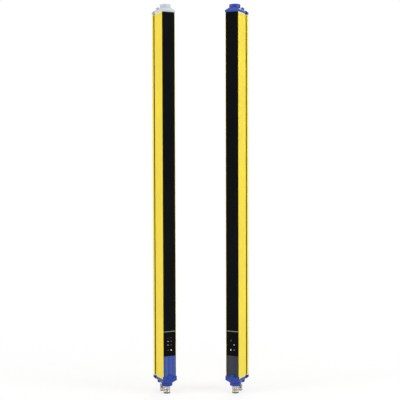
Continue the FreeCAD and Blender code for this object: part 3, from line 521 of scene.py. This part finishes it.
class Bar:
    """The place of one bar in the scene, found from its connectors and its profile."""

    def __init__(self, name):
        self.name = name
        front = self.axis("system_connector_shell")
        rear = self.axis("extension_connector_shell")
        depth = (rear - front).normalized()
        self.across = depth.cross(Vector((0.0, 0.0, 1.0)))
        low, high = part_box(name + "_housing_profile")
        origin = front - depth * BOSS_FROM_FRONT / 1000
        origin.z = low[2]
        axes = Matrix((self.across, depth, (0.0, 0.0, 1.0))).transposed().to_4x4()
        self.matrix = Matrix.Translation(origin) @ axes @ Matrix.Scale(0.001, 4)

    def axis(self, piece):
        """The upright middle line of a round node, at the level of the floor."""
        low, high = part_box(self.name + "_" + piece)
        return Vector(((low[0] + high[0]) / 2, (low[1] + high[1]) / 2, 0.0))

    def levels(self, piece):
        """A node's lower and upper end above the profile's lower end, in mm."""
        low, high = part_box(self.name + "_" + piece)
        base = self.matrix.translation.z
        return (low[2] - base) * 1000, (high[2] - base) * 1000

    def piece(self, name, shape, material, slot, replaced=(), crease=CREASE_DEG):
        """A mesh piece from points in this bar's frame; edges over the crease angle are sharp."""
        points, faces = shape
        mesh = bpy.data.meshes.new(self.name + "_" + name)
        mesh.from_pydata([self.matrix @ Vector(point) for point in points], [], faces)
        mesh.validate()
        mesh.shade_smooth()
        mesh.set_sharp_from_angle(angle=math.radians(crease))
        mesh.materials.append(material)
        item = bpy.data.objects.new(mesh.name, mesh)
        bpy.context.scene.collection.objects.link(item)
        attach(item, "root")
        for node in replaced:
            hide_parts(self.name + "_" + node)


def ridge(phase):
    """Height of a thread or rib from 0 to 1, with a flat crest and root."""
    distance = abs(phase % 1.0 - 0.5) * 2
    return min(1.0, max(0.0, (RIDGE_ROOT - distance) / RIDGE_FLANK))


def merged(shapes):
    """One shape from several, each given as its points and faces."""
    points, faces = [], []
    for more, loops in shapes:
        faces += [tuple(len(points) + at for at in loop) for loop in loops]
        points += more
    return points, faces


def revolved(rows, segments, centre_y):
    """A closed turned body; each row is (radius, level, kind of relief, depth, pitch).

    A thread's pitch is in mm, and ribs have their number in its place.
    """
    points = []
    for radius, level, kind, depth, pitch in rows:
        for step in range(segments):
            turn = step / segments
            reach = radius
            if kind == "thread":
                reach -= depth * (1 - ridge(level / pitch + turn))
            elif kind == "ribs":
                reach -= depth * (1 - ridge(turn * pitch))
            angle = 2 * math.pi * turn
            points.append((reach * math.cos(angle), centre_y + reach * math.sin(angle), level))
    faces = []
    count = len(rows)
    for row in range(count):
        after = (row + 1) % count
        for step in range(segments):
            beside = (step + 1) % segments
            faces.append((row * segments + step, row * segments + beside,
                          after * segments + beside, after * segments + step))
    return points, faces


def plain(*pairs):
    """Rows without relief."""
    return [(radius, level, "", 0.0, 1.0) for radius, level in pairs]


def relief(radius, start, end, kind, depth, pitch, step):
    """Rows that carry a thread or ribs from one level to another, fading at both ends."""
    count = max(2, round(abs(end - start) / step))
    rows = []
    for index in range(count + 1):
        level = start + (end - start) * index / count
        fade = min(1.0, 3.0 * min(index, count - index) / count + RELIEF_LEAST)
        rows.append((radius, level, kind, depth * fade, pitch))
    return rows


def box(x_low, x_high, y_low, y_high, z_low, z_high):
    """A plain box."""
    points = [(x, y, z) for z in (z_low, z_high) for y in (y_low, y_high) for x in (x_low, x_high)]
    return points, [(0, 2, 3, 1), (4, 5, 7, 6), (0, 1, 5, 4), (2, 6, 7, 3), (0, 4, 6, 2),
                    (1, 3, 7, 5)]


def rim_rows(radius, bore, end, length, edge, mouth):
    """The rim at a connector's lower end, chamfered above, below and at its mouth."""
    return plain((radius - edge, end + length), (radius, end + length - edge),
                 (radius, end + RIM_CHAMFER), (radius - RIM_CHAMFER, end),
                 (bore + mouth, end), (bore, end + mouth), (bore, end + length))


def system_shell(bar, material, painted_shade_rim_material):
    """Large connector: ribbed collar, coupling thread, groove, rim, and a coding key inside."""
    end, start = bar.levels("system_connector_shell")
    collar_top = start - SYSTEM_NECK_LENGTH
    collar_end = collar_top - COLLAR_LENGTH
    groove_top = end + GROOVE_TOP
    rim_top = end + SYSTEM_RIM_LENGTH
    socket_top = end + SYSTEM_SOCKET_DEPTH
    rows = plain((SYSTEM_BORE_RADIUS, start), (SYSTEM_NECK_RADIUS, start),
                 (SYSTEM_NECK_RADIUS, collar_top), (COLLAR_RADIUS - COLLAR_EDGE, collar_top))
    rows += relief(COLLAR_RADIUS, collar_top - RELIEF_MARGIN, collar_end + RELIEF_MARGIN, "ribs",
                   COLLAR_RIB_DEPTH, COLLAR_RIBS, COLLAR_ROW_STEP)
    rows += plain((COLLAR_RADIUS - COLLAR_EDGE, collar_end),
                  (COUPLING_RADIUS - SYSTEM_UNDERCUT, collar_end - FACE_STEP))
    rows += relief(COUPLING_RADIUS, collar_end - SYSTEM_THREAD_START, groove_top + RELIEF_MARGIN,
                   "thread", SYSTEM_THREAD_DEPTH, SYSTEM_THREAD_PITCH, SYSTEM_ROW_STEP)
    rows += plain((COUPLING_RADIUS - GROOVE_DEPTH, groove_top),
                  (COUPLING_RADIUS - GROOVE_DEPTH, rim_top), (SYSTEM_SOCKET_RADIUS, rim_top),
                  (SYSTEM_SOCKET_RADIUS, socket_top), (SYSTEM_BORE_RADIUS, socket_top))
    wall = BOSS_FROM_FRONT + SYSTEM_SOCKET_RADIUS
    key = box(-KEY_HALF_WIDTH, KEY_HALF_WIDTH, wall - KEY_HEIGHT, wall + KEY_ROOT,
              end + KEY_SET_BACK, end + KEY_TOP)
    body = merged([revolved(rows, SYSTEM_SEGMENTS, BOSS_FROM_FRONT), key])
    bar.piece("system_connector_body", body, material, "nickel", ["system_connector_shell"])
    # the lower rim takes the darker copy of nickel: painted shade
    rim = revolved(rim_rows(COUPLING_RADIUS, SYSTEM_SOCKET_RADIUS, end, SYSTEM_RIM_LENGTH,
                            SYSTEM_RIM_EDGE, SYSTEM_MOUTH_CHAMFER),
                   SYSTEM_RIM_SEGMENTS, BOSS_FROM_FRONT)
    bar.piece("system_connector_rim", rim, painted_shade_rim_material, "nickel")


def extension_shell(bar, material, painted_shade_rim_material):
    """Small connector: chamfered flange, fine thread and a smooth rim."""
    end, start = bar.levels("extension_connector_shell")
    flange_top = start - EXTENSION_NECK_LENGTH
    flange_end = flange_top - FLANGE_LENGTH
    rim_top = end + EXTENSION_RIM_LENGTH
    rows = plain((EXTENSION_BORE_RADIUS, start), (EXTENSION_NECK_RADIUS, start),
                 (EXTENSION_NECK_RADIUS, flange_top), (FLANGE_RADIUS - FLANGE_CHAMFER, flange_top),
                 (FLANGE_RADIUS, flange_top - FLANGE_CHAMFER),
                 (FLANGE_RADIUS, flange_end + FLANGE_CHAMFER),
                 (FLANGE_RADIUS - FLANGE_CHAMFER, flange_end),
                 (EXTENSION_RADIUS - EXTENSION_UNDERCUT, flange_end - FACE_STEP))
    rows += relief(EXTENSION_RADIUS, flange_end - RELIEF_MARGIN, rim_top + RELIEF_MARGIN,
                   "thread", EXTENSION_THREAD_DEPTH, EXTENSION_THREAD_PITCH, EXTENSION_ROW_STEP)
    rows += plain((EXTENSION_RADIUS - EXTENSION_UNDERCUT, rim_top),
                  (EXTENSION_BORE_RADIUS, rim_top))
    centre = bar.matrix.inverted() @ bar.axis("extension_connector_shell")
    body = revolved(rows, EXTENSION_SEGMENTS, centre.y)
    bar.piece("extension_connector_body", body, material, "nickel", ["extension_connector_shell"])
    # the lower rim takes the darker copy of nickel: painted shade
    rim = revolved(rim_rows(EXTENSION_RADIUS, EXTENSION_BORE_RADIUS, end, EXTENSION_RIM_LENGTH,
                            EXTENSION_RIM_EDGE, EXTENSION_MOUTH_CHAMFER),
                   EXTENSION_SEGMENTS, centre.y)
    bar.piece("extension_connector_rim", rim, painted_shade_rim_material, "nickel")


def outline(shape, x, z):
    """Outline of a display mark about (x, z), anticlockwise from the front."""
    half, radius, tilt = MARK_SHAPES[shape]
    points = []
    for step in range(MARK_POINTS):
        angle = 2 * math.pi * (step + 0.5) / MARK_POINTS
        along = radius * math.cos(angle) + math.copysign(half, math.cos(angle))
        points.append((along, radius * math.sin(angle)))
    turn = math.radians(tilt)
    return [(x + a * math.cos(turn) - b * math.sin(turn),
             z + a * math.sin(turn) + b * math.cos(turn)) for a, b in points]


def pad(loop, bevel):
    """A thin pad on the pane over a closed (x, z) outline, with a bevelled front rim."""
    y_back = PANE_FRONT - PAD_GAP
    y_front = PANE_FRONT - PAD_THICKNESS
    mid_x = sum(point[0] for point in loop) / len(loop)
    mid_z = sum(point[1] for point in loop) / len(loop)
    points = []
    for y, pull in ((y_back, 0.0), (y_front + bevel / 2, 0.0), (y_front, bevel)):
        for x, z in loop:
            reach = math.hypot(x - mid_x, z - mid_z)
            keep = 1 - pull / reach
            points.append((mid_x + (x - mid_x) * keep, y, mid_z + (z - mid_z) * keep))
    count = len(loop)
    faces = [tuple(range(count))]
    for low, high in ((0, count), (count, 2 * count)):
        for step in range(count):
            beside = (step + 1) % count
            faces.append((low + beside, low + step, high + step, high + beside))
    faces.append(tuple(reversed(range(2 * count, 3 * count))))
    return points, faces


def marks(bar, name, places, material):
    """Small pads on the display window, one for each lamp or sign."""
    _, top = bar.levels("display_window")
    pads = [pad(outline(shape, column * COLUMN, top - drop), MARK_BEVEL)
            for column, drop, shape in places]
    bar.piece(name, merged(pads), material, "led", crease=PAD_CREASE_DEG)


def plate_film(bar, material, slot):
    """Thin film with rounded corners on the name plate."""
    low, high = bar.levels("name_plate")
    radius = FILM_CORNER_RADIUS
    right = FILM_HALF_WIDTH - radius
    top = high - FILM_MARGIN - radius
    bottom = low + FILM_MARGIN + radius
    loop = []
    for x, z, start in ((right, top, 0), (-right, top, 90), (-right, bottom, 180),
                        (right, bottom, 270)):
        for step in range(FILM_CORNER_STEPS + 1):
            angle = math.radians(start + 90 * step / FILM_CORNER_STEPS)
            loop.append((x + radius * math.cos(angle), z + radius * math.sin(angle)))
    bar.piece("name_plate_film", pad(loop, FILM_BEVEL), material, slot, crease=PAD_CREASE_DEG)


def make_pieces(materials):
    """The new pieces of both bars."""
    for name, places, plate in (("receiver", RECEIVER_MARKS, "plate_blue"),
                                ("sender", SENDER_MARKS, "plate_dark")):
        bar = Bar(name)
        system_shell(bar, materials["nickel"], materials["nickel_painted_shade"])
        extension_shell(bar, materials["nickel"], materials["nickel_painted_shade"])
        for finish, group in places.items():
            marks(bar, finish + "_marks", group, materials[finish + "_mark"])
        plate_film(bar, materials[plate], plate)


# ---- studio ------------------------------------------------------------------------------------

def make_floor():
    """A wide pale floor that keeps the shadow and turns white away from the object."""
    graph = new_material("studio_floor")
    paper = graph.drift(graph.place, 30.0, 3.0)
    tones = [(tone, tone, tone, 1.0) for tone in FLOOR_TONES]
    diffuse = graph.add("ShaderNodeBsdfDiffuse", None, Color=graph.mix(paper, *tones))
    white = graph.add("ShaderNodeEmission", None, Color=WHITE, Strength=1.0)
    path = graph.add("ShaderNodeLightPath").outputs
    distance = graph.add("ShaderNodeVectorMath", {"operation": "LENGTH"}, Vector=graph.place)
    far = graph.ramp(distance.outputs["Value"], WHITE_NEAR, WHITE_FAR, WHITE_LEAST, 1.0)
    seen = graph.math("MAXIMUM", path["Is Camera Ray"], path["Is Glossy Ray"])
    seen = graph.math("MAXIMUM", seen, path["Is Transmission Ray"])
    blend = graph.add("ShaderNodeMixShader", None, Fac=graph.math("MULTIPLY", far, seen))
    graph.feed(blend.inputs[1], diffuse.outputs[0])
    graph.feed(blend.inputs[2], white.outputs[0])
    graph.out("ShaderNodeOutputMaterial", blend.outputs[0])
    mesh = bpy.data.meshes.new("studio_floor")
    corners = [(x * FLOOR_REACH, y * FLOOR_REACH, 0.0)
               for x, y in ((-1, -1), (1, -1), (1, 1), (-1, 1))]
    mesh.from_pydata(corners, [], [(0, 1, 2, 3)])
    mesh.materials.append(graph.owner)
    floor = bpy.data.objects.new("studio_floor", mesh)
    bpy.context.scene.collection.objects.link(floor)


def make_world():
    """Even soft light, and a white background for the camera and in reflections.

    Reflections see the unlit side of the room, in front of the pair, as grey.
    """
    world = bpy.data.worlds.new("studio")
    bpy.context.scene.world = world
    graph = Graph(world)
    path = graph.add("ShaderNodeLightPath").outputs
    toward = graph.add("ShaderNodeSeparateXYZ", None, Vector=graph.coordinates["Generated"])
    front = graph.ramp(toward.outputs["Y"], DARK_FROM, DARK_AT, 1.0, DARK_SIDE, "SMOOTHSTEP")
    mirrored = graph.math("MULTIPLY", path["Is Glossy Ray"], front)
    seen = graph.math("MAXIMUM", path["Is Camera Ray"], path["Is Transmission Ray"])
    white = graph.math("MAXIMUM", seen, mirrored)
    strength = graph.ramp(white, 0.0, 1.0, AMBIENT, 1.0)
    background = graph.add("ShaderNodeBackground", None, Color=WHITE, Strength=strength)
    graph.out("ShaderNodeOutputWorld", background.outputs[0])


def make_lamps():
    """Square soft boxes that look at their aims."""
    for name, place, aim, size, power, tint in LAMPS:
        data = bpy.data.lights.new(name, "AREA")
        data.shape = "SQUARE"
        data.size = size
        data.energy = power
        data.color = tint
        lamp = bpy.data.objects.new(name, data)
        lamp.location = place
        lamp.rotation_mode = "QUATERNION"
        lamp.rotation_quaternion = (Vector(aim) - Vector(place)).to_track_quat("-Z", "Y")
        bpy.context.scene.collection.objects.link(lamp)


def make_camera():
    """Long lens in front of the pair, a little above its middle."""
    data = bpy.data.cameras.new("camera")
    data.sensor_width = SENSOR_WIDTH
    data.lens = CAMERA_LENS
    data.clip_end = 100.0
    camera = bpy.data.objects.new("camera", data)
    bpy.context.scene.collection.objects.link(camera)
    camera.matrix_world = (Matrix.Translation(CAMERA_PLACE)
                           @ Matrix.Rotation(math.radians(90.0 - CAMERA_DIP), 4, "X")
                           @ Matrix.Rotation(math.radians(CAMERA_ROLL), 4, "Z"))
    bpy.context.scene.camera = camera


materials = make_materials()
paint_nodes(materials)
make_pieces(materials)
make_floor()
make_world()
make_lamps()
make_camera()
bpy.context.scene.view_settings.view_transform = "Standard"
